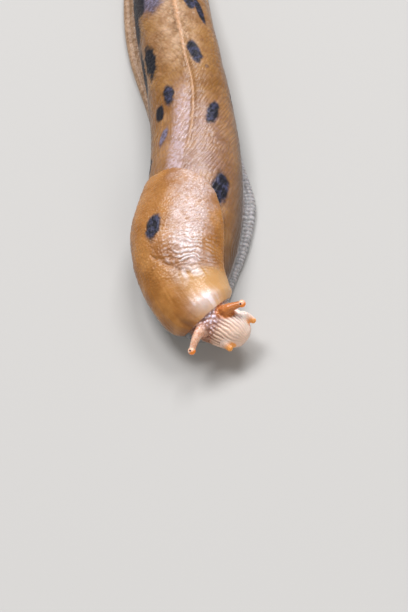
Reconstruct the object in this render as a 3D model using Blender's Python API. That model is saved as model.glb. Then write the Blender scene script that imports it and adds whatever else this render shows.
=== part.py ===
"""A life-size banana slug, crawling on its foot with its head turned to its own left.

Sizes are in millimetres and turned into metres when a mesh is made. The ground is z = 0, the tail points
along +Y, the head along -Y, and the slug's own left is +X. The origin is on the sole, below the mantle.
"""

import math

import bmesh
import bpy
import numpy as np

MM = 0.001
GAP = 0.3  # left between neighbouring pieces

# The spine runs on the ground under the middle of the foot, from the tail's tip to the front of the foot.
SPINE_POINTS = [
    (22.0, 131.0),
    (17.6, 112.0),
    (13.8, 94.0),
    (11.7, 76.0),
    (11.1, 58.0),
    (10.5, 42.0),
    (9.2, 28.0),
    (6.4, 13.0),
    (3.0, 2.0),
    (-0.4, -7.0),
    (-1.6, -13.0),
    (-0.6, -20.0),
    (2.2, -26.0),
]

# The back along the spine: distance from the tail's tip, half width at its widest, height, height where it is
# widest, sideways lean of the top to the slug's left, and turn of its midline to the slug's left in degrees.
BODY_STATIONS = [
    (0.0, 0.6, 3.5, 3.2, 0.0, 0.0),
    (1.2, 2.1, 4.6, 3.6, 0.0, 0.0),
    (4.0, 3.8, 6.2, 4.3, 0.1, 0.0),
    (12.0, 6.6, 9.2, 5.2, 0.4, 0.0),
    (25.0, 9.0, 12.4, 6.2, 1.2, 2.0),
    (44.0, 10.3, 14.6, 7.0, 2.6, 3.0),
    (61.0, 10.9, 15.8, 7.4, 2.9, 6.0),
    (77.0, 11.2, 16.3, 7.6, 1.8, 4.0),
    (91.0, 11.6, 16.6, 7.6, 0.6, -6.0),
    (105.0, 12.2, 16.8, 7.6, -0.9, -26.0),
    (119.0, 12.5, 17.0, 7.6, -2.6, -38.0),
    (132.0, 12.6, 17.2, 7.6, -3.8, -32.0),
    (142.0, 11.0, 16.0, 7.5, -2.9, -20.0),
    (149.0, 8.9, 13.9, 7.5, -1.4, -11.0),
    (159.5, 6.2, 12.2, 7.3, -0.4, -4.0),
]
UNDERCUT = math.radians(34.0)  # how far the back curls under its widest line before it meets the foot

# The foot: distance from the tail's tip and half width at its edge.
FOOT_STATIONS = [
    (0.0, 0.8),
    (1.0, 2.9),
    (3.0, 5.0),
    (8.0, 7.8),
    (16.0, 10.2),
    (28.0, 11.8),
    (44.0, 12.7),
    (62.0, 12.7),
    (77.0, 11.7),
    (91.0, 11.3),
    (104.0, 11.7),
    (112.0, 13.2),
    (118.0, 14.0),
    (124.0, 13.5),
    (131.0, 12.5),
    (138.0, 11.1),
    (144.0, 9.9),
    (150.0, 8.3),
    (155.0, 6.0),
    (157.6, 3.6),
    (158.5, 1.6),
]
FOOT_HEIGHT = 2.6
FOOT_LENGTH = 158.5
FRINGE_WIDTH = 1.7  # from the foot's edge in to the groove under the back
FRINGE_NOTCH = 0.3  # depth of the grooves across the fringe
FRINGE_PITCH = 3.6
FRINGE_STEPS = 3  # sections to each groove
FRINGE_SEAT = 0.6  # share of the fringe's width that the back overhangs
# Half a section of the foot's edge: how far in from it as a share of the fringe's width, height, and the share
# of the grooves' depth that cuts in there.
FOOT_EDGE = [(0.5, 0.0, 0.0), (0.06, 0.6, 1.0), (0.0, 1.4, 1.0), (0.3, 2.3, 1.0), (1.0, FOOT_HEIGHT, 0.0)]

# The pale keel along the tail.
KEEL_HEIGHT = 1.5
KEEL_SPREAD = math.radians(9.0)
KEEL_FULL_AT = 12.0  # it is lower where the tail is lower than this
KEEL_FADES = (50.0, 98.0)  # full height up to the first distance, gone by the second

# Where the back is divided.
TAIL_TIP_END = 24.0
TAIL_END = 62.0
BACK_END = 106.0
TRUNK_END = 152.4

# The mantle, a thick saddle of skin over the trunk, open in front like a hood.
MANTLE_REAR = 114.5
MANTLE_FRONT = 157.0
MANTLE_PEAK = 2.2  # how much further the hood reaches over the middle of the neck
MANTLE_LEFT_SPREAD = math.radians(94.0)  # from the midline down to its left edge
MANTLE_RIGHT_SPREAD = math.radians(66.0)
MANTLE_HOOD_SPREAD = math.radians(100.0)  # on both sides of the head
MANTLE_TIP_SPREAD = math.radians(6.0)
MANTLE_TAPER = 19.0  # length of the rounded rear end
MANTLE_HOOD = 16.0  # length over which it widens into the hood
MANTLE_EDGE = 0.8  # thickness at the edge
MANTLE_THICK = 1.6  # thickness in the middle
MANTLE_SWELL = 11.0  # length over which it thickens from either end
MANTLE_LIFT = 0.9  # how far the hood's edge stands off the neck
MANTLE_CORNER = 5.0  # length of the hood's rounded corners, one on each side of the head
MANTLE_CORNER_TURN = math.radians(24.0)  # how far they draw back towards the midline
PORE_DISTANCE = 125.0
PORE_ANGLE = math.radians(177.0)  # on the slug's right
PORE_RADII = (1.7, 1.1, 3.5)  # half length, half height and half depth of the breathing pore

# The neck, head and muzzle are one bent tube: centre x, y and z, half width and half height.
HEAD_STATIONS = [
    (-2.9, -11.5, 8.0, 8.2, 5.0),
    (-2.3, -15.3, 8.0, 8.1, 5.0),
    (-1.3, -19.4, 8.0, 7.3, 4.8),
    (0.6, -23.4, 7.9, 6.3, 4.6),
    (3.0, -26.3, 7.6, 5.8, 4.4),
    (5.3, -28.4, 7.0, 5.4, 4.2),
    (6.9, -29.8, 6.3, 4.9, 3.9),
    (8.3, -31.1, 5.6, 4.3, 3.5),
]
HEAD_SIDES = 48
HEAD_START = 0.56  # share of the tube's length that is neck
HEAD_ROUND_FROM = 0.80  # from here the tube rounds off to the lips
RIDGES_FROM = (0.52, 0.68)  # the ridges of the muzzle rise between these shares
RIDGE_COUNT = 12
RIDGE_HEIGHT = 0.13
LIP_HEIGHT = 0.09  # as a share of the muzzle's radius
LIP_PLACE = 0.86  # as a share of the rounded end
LIP_SPREAD = 0.1
MOUTH_RADII = (2.3, 1.4, 0.34)  # half width, depth and half height of the slit between the lips
MOUTH_DROP = 0.3  # below the middle of the muzzle's end

# Tentacles: a route from inside the head to the tip, and the radius along it.
UPPER_LEFT = [(3.2, -25.2, 9.4), (4.6, -25.2, 11.6), (7.0, -25.3, 12.7), (9.1, -25.5, 13.1)]
UPPER_LEFT_RADII = (1.9, 1.65, 1.15, 0.8)
UPPER_RIGHT = [(1.0, -25.6, 9.2), (-1.2, -27.2, 10.4), (-3.8, -29.6, 10.6), (-5.9, -32.4, 9.4)]
UPPER_RIGHT_RADII = (1.9, 1.75, 1.25, 0.85)
LOWER_LEFT = [(7.0, -27.2, 8.2), (8.5, -26.1, 8.7), (10.0, -27.0, 8.3), (11.2, -28.2, 7.6)]
LOWER_RIGHT = [(4.3, -29.5, 7.6), (2.8, -31.2, 8.0), (2.9, -32.6, 7.5), (3.8, -33.8, 6.9)]
LOWER_RADII = (1.5, 1.4, 1.1, 0.85)
LOWER_ROUND_FROM = 0.88
TIP_SHARE = 0.9985  # the last ring of a rounded end, just short of its tip
HEAD_CLEAR = (0.2, 0.97)  # the part of the head's tube that the tentacles are cut back from
EYE_RADIUS = 1.0  # of the bulb at the end of an upper tentacle
TENTACLE_SIDES = 14
EYE_SIDES = 16


def spline(knots, values):
    """The natural cubic curve through values at knots, as a function of one number or an array."""
    x = np.asarray(knots, float)
    y = np.asarray(values, float).reshape(len(x), -1)
    step = np.diff(x)
    slope = np.diff(y, axis=0) / step[:, None]
    matrix = np.eye(len(x))
    right = np.zeros_like(y)
    for i in range(1, len(x) - 1):
        matrix[i, i - 1 : i + 2] = step[i - 1], 2 * (step[i - 1] + step[i]), step[i]
        right[i] = 6 * (slope[i] - slope[i - 1])
    bend = np.linalg.solve(matrix, right)

    def at(where):
        w = np.clip(np.atleast_1d(np.asarray(where, float)), x[0], x[-1])
        i = np.clip(np.searchsorted(x, w) - 1, 0, len(x) - 2)
        h = step[i][:, None]
        after = (w - x[i])[:, None]
        before = h - after
        return (
            (bend[i] * before**3 + bend[i + 1] * after**3) / (6 * h)
            + (y[i] / h - bend[i] * h / 6) * before
            + (y[i + 1] / h - bend[i + 1] * h / 6) * after
        )

    return at


def by_length(points):
    """A smooth curve through points, as a function of the distance along it."""
    points = np.asarray(points, float)
    chord = np.concatenate([[0.0], np.cumsum(np.linalg.norm(np.diff(points, axis=0), axis=1))])
    curve = spline(chord, points)
    fine = np.linspace(0.0, chord[-1], 2000)
    run = np.linalg.norm(np.diff(curve(fine), axis=0), axis=1)
    length = np.concatenate([[0.0], np.cumsum(run)])
    return (lambda distance: curve(np.interp(distance, length, fine))), length[-1]


SPINE, SPINE_LENGTH = by_length(SPINE_POINTS)
BODY = spline([row[0] for row in BODY_STATIONS], [row[1:] for row in BODY_STATIONS])
FOOT = spline([row[0] for row in FOOT_STATIONS], [row[1] for row in FOOT_STATIONS])


def smooth_step(value):
    t = np.clip(value, 0.0, 1.0)
    return t * t * (3.0 - 2.0 * t)


def ground_frame(distance):
    """The spine's point and the slug's left there, both on the ground."""
    here = SPINE(distance)[0]
    ahead = SPINE(distance + 0.05)[0] - SPINE(distance - 0.05)[0]
    ahead /= np.linalg.norm(ahead)
    return here, np.array([-ahead[1], ahead[0]])


def back_point(distance, angle, offset=0.0):
    """A point of the back: angle 0 is the slug's left, 90 degrees the top and 180 the right."""
    here, left = ground_frame(distance)
    width, height, middle, lean, turn = BODY(distance)[0]
    base = FOOT_HEIGHT + GAP
    rise = height - middle
    drop = (middle - base) / math.sin(undercut(distance))
    reach = rise if math.sin(angle) >= 0.0 else drop
    across = width * math.cos(angle)
    up = middle + reach * math.sin(angle)
    normal = np.array([math.cos(angle) / width, math.sin(angle) / reach])
    normal /= np.linalg.norm(normal)
    across += offset * normal[0]
    up += offset * normal[1]
    fade = 1.0 - smooth_step((distance - KEEL_FADES[0]) / (KEEL_FADES[1] - KEEL_FADES[0]))
    keel = KEEL_HEIGHT * fade * min(1.0, height / KEEL_FULL_AT)
    up += keel * math.exp(-(((angle - midline(distance)) / KEEL_SPREAD) ** 2))
    across += lean * (1.0 - (1.0 - min(1.0, (up - base) / (height - base))) ** 2)
    spot = here + across * left
    return np.array([spot[0], spot[1], up])


def undercut(distance):
    """The angle below the widest line where the back meets the foot, more where the foot is narrow."""
    width = BODY(distance)[0][0]
    seat = FOOT(distance)[0][0] - FRINGE_SEAT * FRINGE_WIDTH
    return max(UNDERCUT, math.acos(min(1.0, max(0.2, seat / width))))


def midline(distance):
    return math.radians(90.0 - BODY(distance)[0][4])


def back_ring(distance):
    """One section of the back, from the groove on the slug's left over the top to the one on its right."""
    top = midline(distance)
    near = [top + KEEL_SPREAD * k for k in (-2.2, -1.1, -0.5, 0.0, 0.5, 1.1, 2.2)]
    under = undercut(distance)
    low = np.linspace(-under, near[0], 10)[:-1]
    high = np.linspace(near[-1], math.pi + under, 10)[1:]
    return [back_point(distance, a) for a in [*low, *near, *high]]


def foot_ring(distance):
    """One section of the foot, a flat sole with a rounded, upstanding and notched edge."""
    here, left = ground_frame(distance)
    edge = FOOT(distance)[0][0]
    border = min(FRINGE_WIDTH, 0.5 * edge)
    wave = 0.5 - 0.5 * math.cos(2.0 * math.pi * distance / FRINGE_PITCH)
    notch = FRINGE_NOTCH * wave / FRINGE_WIDTH
    side = [(edge - (inward + cut_in * notch) * border, up) for inward, up, cut_in in FOOT_EDGE]
    outline = side + [(-across, up) for across, up in reversed(side)]
    return [np.array([*(here + across * left), up]) for across, up in outline]


def material(name, colour, roughness):
    made = bpy.data.materials.new(name)
    made.use_nodes = True
    shader = made.node_tree.nodes["Principled BSDF"]
    shader.inputs["Base Color"].default_value = (*colour, 1.0)
    shader.inputs["Roughness"].default_value = roughness
    shader.inputs["Metallic"].default_value = 0.0
    return made


def finish(name, mesh, look):
    """Puts a bmesh in millimetres into the scene as one named, outward-facing object in metres."""
    bmesh.ops.scale(mesh, vec=(MM, MM, MM), verts=mesh.verts)
    bmesh.ops.recalc_face_normals(mesh, faces=mesh.faces)
    data = bpy.data.meshes.new(name)
    mesh.to_mesh(data)
    mesh.free()
    data.shade_smooth()
    data.set_sharp_from_angle(angle=math.radians(50.0))
    data.materials.append(look)
    made = bpy.data.objects.new(name, data)
    bpy.context.scene.collection.objects.link(made)
    return made


def lofted(rings):
    """A closed bmesh through rings of equally many points, capped at both ends."""
    mesh = bmesh.new()
    loops = [[mesh.verts.new(point) for point in ring] for ring in rings]
    count = len(loops[0])
    for one, two in zip(loops, loops[1:]):
        for i in range(count):
            j = (i + 1) % count
            mesh.faces.new((one[i], one[j], two[j], two[i]))
    mesh.faces.new(loops[0])
    mesh.faces.new(reversed(loops[-1]))
    bmesh.ops.triangulate(mesh, faces=[f for f in mesh.faces if len(f.verts) > 4])
    return mesh


def back_piece(name, start, end, look, step=3.0):
    count = round((end - start) / step) + 1
    rings = [back_ring(s) for s in np.linspace(start, end, count)]
    return finish(name, lofted(rings), look)


def foot_piece(name, start, end, look):
    count = round((end - start) * FRINGE_STEPS / FRINGE_PITCH) + 1
    rings = [foot_ring(s) for s in np.linspace(start, end, count)]
    return finish(name, lofted(rings), look)


def mantle_angles(distance):
    """The angles of the mantle's left and right edges at a distance along the body."""
    behind = (distance - MANTLE_REAR) / MANTLE_TAPER
    swell = math.sqrt(max(0.0, 1.0 - max(0.0, 1.0 - behind) ** 2))
    hood = float(smooth_step((distance - MANTLE_FRONT + MANTLE_HOOD) / MANTLE_HOOD))
    past = min(1.0, max(0.0, (distance - MANTLE_FRONT) / MANTLE_CORNER + 1.0))
    corner = MANTLE_CORNER_TURN * (1.0 - math.sqrt(1.0 - past**2))
    edges = []
    for spread in (MANTLE_LEFT_SPREAD, MANTLE_RIGHT_SPREAD):
        half = MANTLE_TIP_SPREAD + (spread - MANTLE_TIP_SPREAD) * swell
        edges.append(half + (MANTLE_HOOD_SPREAD - spread) * hood - corner)
    top = midline(distance)
    return top - edges[0], top + edges[1]


def mantle_point(share, across, outer):
    """A point of the mantle's inner or outer face: share 0 to 1 from rear to front, across -1 to 1."""
    distance = MANTLE_REAR + (MANTLE_FRONT - MANTLE_REAR) * share
    first, last = mantle_angles(distance)
    angle = first + (last - first) * (across + 1.0) / 2.0
    end = min(distance - MANTLE_REAR, MANTLE_FRONT - distance) / MANTLE_SWELL
    body = (1.0 - across**4) * math.sqrt(min(1.0, max(0.0, end)))
    thick = MANTLE_EDGE + (MANTLE_THICK - MANTLE_EDGE) * body
    reach = MANTLE_PEAK * (1.0 - across**2) * share**2
    hood = float(smooth_step((distance - MANTLE_FRONT + MANTLE_HOOD) / MANTLE_HOOD))
    offset = GAP + MANTLE_LIFT * hood + (thick if outer else 0.0)
    return back_point(distance + reach, angle, offset)


def mantle_grid(mesh, outer, along, across):
    eased = 0.5 - 0.5 * np.cos(np.linspace(0.0, math.pi, along + 1))
    shares = 0.5 * (eased + np.linspace(0.0, 1.0, along + 1))
    places = np.linspace(-1.0, 1.0, across + 1)
    return [[mesh.verts.new(mantle_point(v, u, outer)) for u in places] for v in shares]


def mantle(look, along=22, across=26):
    """The mantle: an inner sheet that follows the back and an outer one, joined round their edge."""
    mesh = bmesh.new()
    inner = mantle_grid(mesh, False, along, across)
    outer = mantle_grid(mesh, True, along, across)
    for sheet in (inner, outer):
        for i in range(along):
            for k in range(across):
                mesh.faces.new((sheet[i][k], sheet[i + 1][k], sheet[i + 1][k + 1], sheet[i][k + 1]))
    for i in range(along):
        for k in (0, across):
            mesh.faces.new((inner[i][k], inner[i + 1][k], outer[i + 1][k], outer[i][k]))
    for k in range(across):
        for i in (0, along):
            mesh.faces.new((inner[i][k], inner[i][k + 1], outer[i][k + 1], outer[i][k]))
    return finish("mantle", mesh, look)


def ellipsoid(name, centre, axes, radii, look, sides=EYE_SIDES):
    mesh = bmesh.new()
    bmesh.ops.create_uvsphere(mesh, u_segments=sides, v_segments=sides // 2 + 1, radius=1.0)
    turn = np.array(axes).T * np.array(radii)
    for vert in mesh.verts:
        vert.co = turn @ np.array(vert.co) + centre
    return finish(name, mesh, look)


def cut(piece, cutter):
    """Takes the cutter out of the piece."""
    step = piece.modifiers.new("cut", "BOOLEAN")
    step.operation = "DIFFERENCE"
    step.solver = "EXACT"
    step.object = cutter
    cutter.hide_render = True
    cutter.display_type = "WIRE"


def cut_pore(saddle, look):
    """Opens the breathing pore in the mantle's right side."""
    here = back_point(PORE_DISTANCE, PORE_ANGLE)
    ahead = back_point(PORE_DISTANCE + 0.5, PORE_ANGLE) - here
    ahead /= np.linalg.norm(ahead)
    out = np.cross(ahead, (0.0, 0.0, -1.0))
    out /= np.linalg.norm(out)
    axes = (ahead, np.cross(ahead, out), out)
    cut(saddle, ellipsoid("pore_cutter", here, axes, PORE_RADII, look))


def tube(route, sizes):
    """A smooth route as a function of a share of its length, and that length.

    The function gives the point, the directions ahead, sideways and up, and the sizes there.
    """
    curve, length = by_length(route)
    chord = np.linalg.norm(np.diff(np.asarray(route, float), axis=0), axis=1)
    size = spline(np.concatenate([[0.0], np.cumsum(chord)]) / chord.sum(), sizes)

    def at(share):
        ahead = curve((share + 0.01) * length)[0] - curve((share - 0.01) * length)[0]
        ahead /= np.linalg.norm(ahead)
        side = np.cross(ahead, (0.0, 0.0, 1.0))
        side /= np.linalg.norm(side)
        return curve(share * length)[0], ahead, side, np.cross(side, ahead), size(share)[0]

    return at, length


HEAD, HEAD_LENGTH = tube([row[:3] for row in HEAD_STATIONS], [row[3:] for row in HEAD_STATIONS])


def rounded(share, start):
    """How much of its width a tube keeps where it rounds off from start to its end."""
    over = max(0.0, share - start) / (1.0 - start)
    return math.sqrt(max(0.0, 1.0 - over**2))


def rounding_shares(first, start, body, cap):
    """Places along a tube, closer together towards its rounded end."""
    turns = np.linspace(0.0, math.pi / 2.0, cap + 1)[1:-1]
    return [*np.linspace(first, start, body), *(start + (1.0 - start) * np.sin(turns)), TIP_SHARE]


def head_point(share, angle, offset=0.0):
    """A point of the neck, head or muzzle: angle 0 is the slug's right and 90 degrees the top."""
    here, _, side, above, (half_width, half_height) = HEAD(share)
    over = max(0.0, share - HEAD_ROUND_FROM) / (1.0 - HEAD_ROUND_FROM)
    scale = rounded(share, HEAD_ROUND_FROM) + LIP_HEIGHT * math.exp(-(((over - LIP_PLACE) / LIP_SPREAD) ** 2))
    rise = smooth_step((share - RIDGES_FROM[0]) / (RIDGES_FROM[1] - RIDGES_FROM[0]))
    ridge = RIDGE_HEIGHT * float(rise) * (1.0 - over) * (math.cos(RIDGE_COUNT * angle) - 1.0)
    across = (half_width * scale + ridge + offset) * math.cos(angle)
    up = (half_height * scale + ridge + offset) * math.sin(angle)
    return here + across * side + up * above


def head_rings(shares, sides, offset=0.0):
    turns = np.linspace(0.0, 2.0 * math.pi, sides, endpoint=False)
    return [[head_point(share, a, offset) for a in turns] for share in shares]


def neck_piece(look):
    """The neck, cut off flat a gap in front of the trunk."""
    mesh = lofted(head_rings(np.linspace(0.0, HEAD_START, 9), HEAD_SIDES // 2))
    here, left = ground_frame(TRUNK_END + GAP / 2)
    parting = bmesh.ops.bisect_plane(
        mesh,
        geom=[*mesh.verts, *mesh.edges, *mesh.faces],
        plane_co=(here[0], here[1], 0.0),
        plane_no=(left[1], -left[0], 0.0),
        clear_inner=True,
    )
    rim = [e for e in parting["geom_cut"] if isinstance(e, bmesh.types.BMEdge)]
    bmesh.ops.contextual_create(mesh, geom=rim)
    return finish("neck", mesh, look)


def head_piece(look):
    """The head and muzzle, with the mouth as a slit between the lips."""
    shares = rounding_shares(HEAD_START + GAP / HEAD_LENGTH, HEAD_ROUND_FROM, 9, 8)
    made = finish("head", lofted(head_rings(shares, HEAD_SIDES)), look)
    here, ahead, side, above, _ = HEAD(1.0)
    mouth = here - MOUTH_DROP * above
    cut(made, ellipsoid("mouth_cutter", mouth, (side, ahead, above), MOUTH_RADII, look))
    return made


def tentacle(name, route, radii, look, start=None):
    """A tapering tentacle, whose end is rounded off from start."""
    at, _ = tube(route, [[r] for r in radii])
    shares = np.linspace(0.0, 1.0, 9) if start is None else rounding_shares(0.0, start, 8, 4)
    rings = []
    for share in shares:
        here, _, side, above, (radius,) = at(share)
        radius *= 1.0 if start is None else rounded(share, start)
        turns = np.linspace(0.0, 2.0 * math.pi, TENTACLE_SIDES, endpoint=False)
        rings.append([here + radius * (math.cos(a) * side + math.sin(a) * above) for a in turns])
    return finish(name, lofted(rings), look)


def upper_tentacle(side, route, radii, look, head):
    """An upper tentacle, cut off at the head and at the eye bulb that it carries."""
    made = tentacle("upper_tentacle_" + side, route, radii, look)
    hollow = [EYE_RADIUS + GAP] * 3
    cut(made, head)
    cut(made, ellipsoid("eye_cutter_" + side, route[-1], np.eye(3), hollow, look))
    ellipsoid("eye_" + side, route[-1], np.eye(3), [EYE_RADIUS] * 3, look)


def main():
    for old in list(bpy.data.objects):
        bpy.data.objects.remove(old)
    skin = material("skin", (0.52, 0.30, 0.12), 0.35)
    shield = material("mantle_skin", (0.60, 0.36, 0.14), 0.3)
    sole = material("sole", (0.50, 0.46, 0.40), 0.4)
    eye = material("eye", (0.62, 0.30, 0.10), 0.25)
    half = GAP / 2
    back_piece("tail_tip", 0.0, TAIL_TIP_END - half, skin, 1.6)
    back_piece("tail", TAIL_TIP_END + half, TAIL_END - half, skin)
    back_piece("back", TAIL_END + half, BACK_END - half, skin)
    back_piece("trunk", BACK_END + half, TRUNK_END - half, skin)
    foot_piece("foot_tail", 0.0, TAIL_END - half, sole)
    foot_piece("foot_middle", TAIL_END + half, BACK_END - half, sole)
    foot_piece("foot_front", BACK_END + half, FOOT_LENGTH, sole)
    cut_pore(mantle(shield), shield)
    neck_piece(skin)
    head_piece(skin)
    clear = head_rings(np.linspace(*HEAD_CLEAR, 18), HEAD_SIDES // 2, GAP)
    head = finish("head_cutter", lofted(clear), skin)
    upper_tentacle("left", UPPER_LEFT, UPPER_LEFT_RADII, eye, head)
    upper_tentacle("right", UPPER_RIGHT, UPPER_RIGHT_RADII, eye, head)
    cut(tentacle("lower_tentacle_left", LOWER_LEFT, LOWER_RADII, skin, LOWER_ROUND_FROM), head)
    cut(tentacle("lower_tentacle_right", LOWER_RIGHT, LOWER_RADII, skin, LOWER_ROUND_FROM), head)


main()
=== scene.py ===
"""The looks of the banana slug: one wet skin over all the flesh, its two eyes, and a plain studio.

Lengths are in millimetres and become metres when a mesh or a light is made. The ground is z = 0, the tail
points along +Y and the slug's own left is +X. A place on the back is a distance from the tail's tip along
the spine and an angle round the body: 0 is the slug's left, 90 degrees the top and 180 its right.
"""

import itertools
import math

import bpy
import numpy as np
from mathutils import Matrix


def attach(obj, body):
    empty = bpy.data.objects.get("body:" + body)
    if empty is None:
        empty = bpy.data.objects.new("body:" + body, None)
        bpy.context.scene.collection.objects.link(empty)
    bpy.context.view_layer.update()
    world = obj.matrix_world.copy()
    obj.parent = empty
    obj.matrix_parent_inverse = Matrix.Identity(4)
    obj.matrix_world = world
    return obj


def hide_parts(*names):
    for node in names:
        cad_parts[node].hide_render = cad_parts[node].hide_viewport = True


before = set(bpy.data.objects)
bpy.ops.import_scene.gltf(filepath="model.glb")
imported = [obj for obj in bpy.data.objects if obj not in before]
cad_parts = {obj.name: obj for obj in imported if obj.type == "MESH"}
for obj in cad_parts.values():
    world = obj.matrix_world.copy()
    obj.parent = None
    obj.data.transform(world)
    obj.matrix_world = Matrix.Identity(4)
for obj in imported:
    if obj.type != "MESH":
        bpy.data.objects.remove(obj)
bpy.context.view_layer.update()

MM = 0.001
GAP = 0.3  # between neighbouring solids
VOXEL = 0.18  # edge length of the skin's mesh
BATCH = 20000  # points that are placed at a time, to keep the memory small
INSET = 0.1  # the smooth skin lies this far inside the solids, to leave room for its relief

# The solids' own sizes, as in the part's source.
SPINE_POINTS = [
    (22, 131), (17.6, 112), (13.8, 94), (11.7, 76), (11.1, 58), (10.5, 42), (9.2, 28), (6.4, 13),
    (3, 2), (-0.4, -7), (-1.6, -13), (-0.6, -20), (2.2, -26),
]
# Distance from the tail's tip, half width, height, height of the widest line, lean and turn in degrees.
BODY_STATIONS = [
    (0, 0.6, 3.5, 3.2, 0, 0), (1.2, 2.1, 4.6, 3.6, 0, 0), (4, 3.8, 6.2, 4.3, 0.1, 0),
    (12, 6.6, 9.2, 5.2, 0.4, 0), (25, 9, 12.4, 6.2, 1.2, 2), (44, 10.3, 14.6, 7, 2.6, 3),
    (61, 10.9, 15.8, 7.4, 2.9, 6), (77, 11.2, 16.3, 7.6, 1.8, 4), (91, 11.6, 16.6, 7.6, 0.6, -6),
    (105, 12.2, 16.8, 7.6, -0.9, -26), (119, 12.5, 17, 7.6, -2.6, -38),
    (132, 12.6, 17.2, 7.6, -3.8, -32), (142, 11, 16, 7.5, -2.9, -20), (149, 8.9, 13.9, 7.5, -1.4, -11),
    (159.5, 6.2, 12.2, 7.3, -0.4, -4),
]
UNDERCUT = math.radians(34)
# Distance from the tail's tip and half width of the foot.
FOOT_STATIONS = [
    (0, 0.8), (1, 2.9), (3, 5), (8, 7.8), (16, 10.2), (28, 11.8), (44, 12.7), (62, 12.7), (77, 11.7),
    (91, 11.3), (104, 11.7), (112, 13.2), (118, 14), (124, 13.5), (131, 12.5), (138, 11.1), (144, 9.9),
    (150, 8.3), (155, 6), (157.6, 3.6), (158.5, 1.6),
]
FOOT_HEIGHT = 2.6
FOOT_LENGTH = 158.5
FRINGE_WIDTH = 1.7
KEEL_HEIGHT = 1.5
KEEL_SPREAD = math.radians(9)
KEEL_FADE = 50  # from here on the keel sinks into the back
KEEL_FADE_LENGTH = 48
MANTLE_REAR = 114.5
MANTLE_FRONT = 157
MANTLE_PEAK = 2.2
MANTLE_LEFT_SPREAD = math.radians(94)
MANTLE_RIGHT_SPREAD = math.radians(66)
MANTLE_HOOD_SPREAD = math.radians(100)
MANTLE_TIP_SPREAD = math.radians(6)
MANTLE_TAPER = 19
MANTLE_HOOD = 16
MANTLE_EDGE = 0.8
MANTLE_THICK = 1.6
MANTLE_SWELL = 11
MANTLE_LIFT = 0.9
MANTLE_CORNER = 5  # length of the rounded corners beside the head
MANTLE_CORNER_TURN = math.radians(24)
PORE_DISTANCE = 125
PORE_ANGLE = math.radians(177)
# The neck, head and muzzle: centre x, y and z, half width and half height.
HEAD_STATIONS = [
    (-2.9, -11.5, 8, 8.2, 5), (-2.3, -15.3, 8, 8.1, 5), (-1.3, -19.4, 8, 7.3, 4.8),
    (0.6, -23.4, 7.9, 6.3, 4.6), (3, -26.3, 7.6, 5.8, 4.4), (5.3, -28.4, 7, 5.4, 4.2),
    (6.9, -29.8, 6.3, 4.9, 3.9), (8.3, -31.1, 5.6, 4.3, 3.5),
]
HEAD_ROUND_FROM = 0.80
LIP_HEIGHT = 0.09
LIP_PLACE = 0.86
LIP_SPREAD = 0.1
MOUTH_DROP = 0.3
MOUTH_WIDTH = 2.3
UPPER_LEFT = [(3.2, -25.2, 9.4), (4.6, -25.2, 11.6), (7, -25.3, 12.7), (9.1, -25.5, 13.1)]
UPPER_RIGHT = [(1, -25.6, 9.2), (-1.2, -27.2, 10.4), (-3.8, -29.6, 10.6), (-5.9, -32.4, 9.4)]
LOWER_LEFT = [(7, -27.2, 8.2), (8.5, -26.1, 8.7), (10, -27, 8.3), (11.2, -28.2, 7.6)]
LOWER_RIGHT = [(4.3, -29.5, 7.6), (2.8, -31.2, 8), (2.9, -32.6, 7.5), (3.8, -33.8, 6.9)]
LOWER_RADII = (1.5, 1.4, 1.1, 0.85)
LOWER_ROUND_FROM = 0.88
# Each tentacle's route and radii, how far its skin reaches from the route, the share of the route from
# which it looks like a tentacle, and the share and distance about which its root is smoothed.
TENTACLES = [
    (UPPER_LEFT, (1.9, 1.65, 1.15, 0.8), 2, 0.3, 0.25, 1.9),
    (UPPER_RIGHT, (1.9, 1.75, 1.25, 0.85), 2.1, 0.3, 0.25, 1.8),
    (LOWER_LEFT, LOWER_RADII, 1.6, 0.35, 0.3, 1.1),
    (LOWER_RIGHT, LOWER_RADII, 1.6, 0.35, 0.3, 1.1),
]
EYE_RADIUS = 1

# The relief of the skin.
RUGA_LENGTH = 3  # of the small ridges on the back
RUGA_FRONT_LENGTH = 6  # of those nearer the mantle than RUGA_GROWTH
RUGA_GROWTH = 72
RUGA_WIDTH = 1.05
RUGA_DEPTH = 0.09
RUGA_SWEEP = math.radians(35)  # from the spine's direction, outward and backward
RUGA_FRONT_SWEEP = math.radians(17)  # the same next to the mantle
GRANULE = 0.85  # size of the mantle's grains
GRANULE_DEPTH = 0.09
FRINGE_PITCH = 1.1
FRINGE_DEPTH = 0.26
FRINGE_ROW = 4.6  # top of the row of small squares above the foot's edge
HEAD_GRAIN = 0.8
HEAD_GRAIN_DEPTH = 0.22
MUZZLE_RIDGES = 34  # round the whole muzzle
MUZZLE_RIDGE_DEPTH = 0.26
MOUTH_DEPTH = 0.9
CREASE_DEPTH = 0.3
CREASE_DISTANCE = 143.9
WRINKLE_PITCH = 1.15
WRINKLE_DEPTH = 0.13
PORE_DEPTH = 1.1

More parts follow.
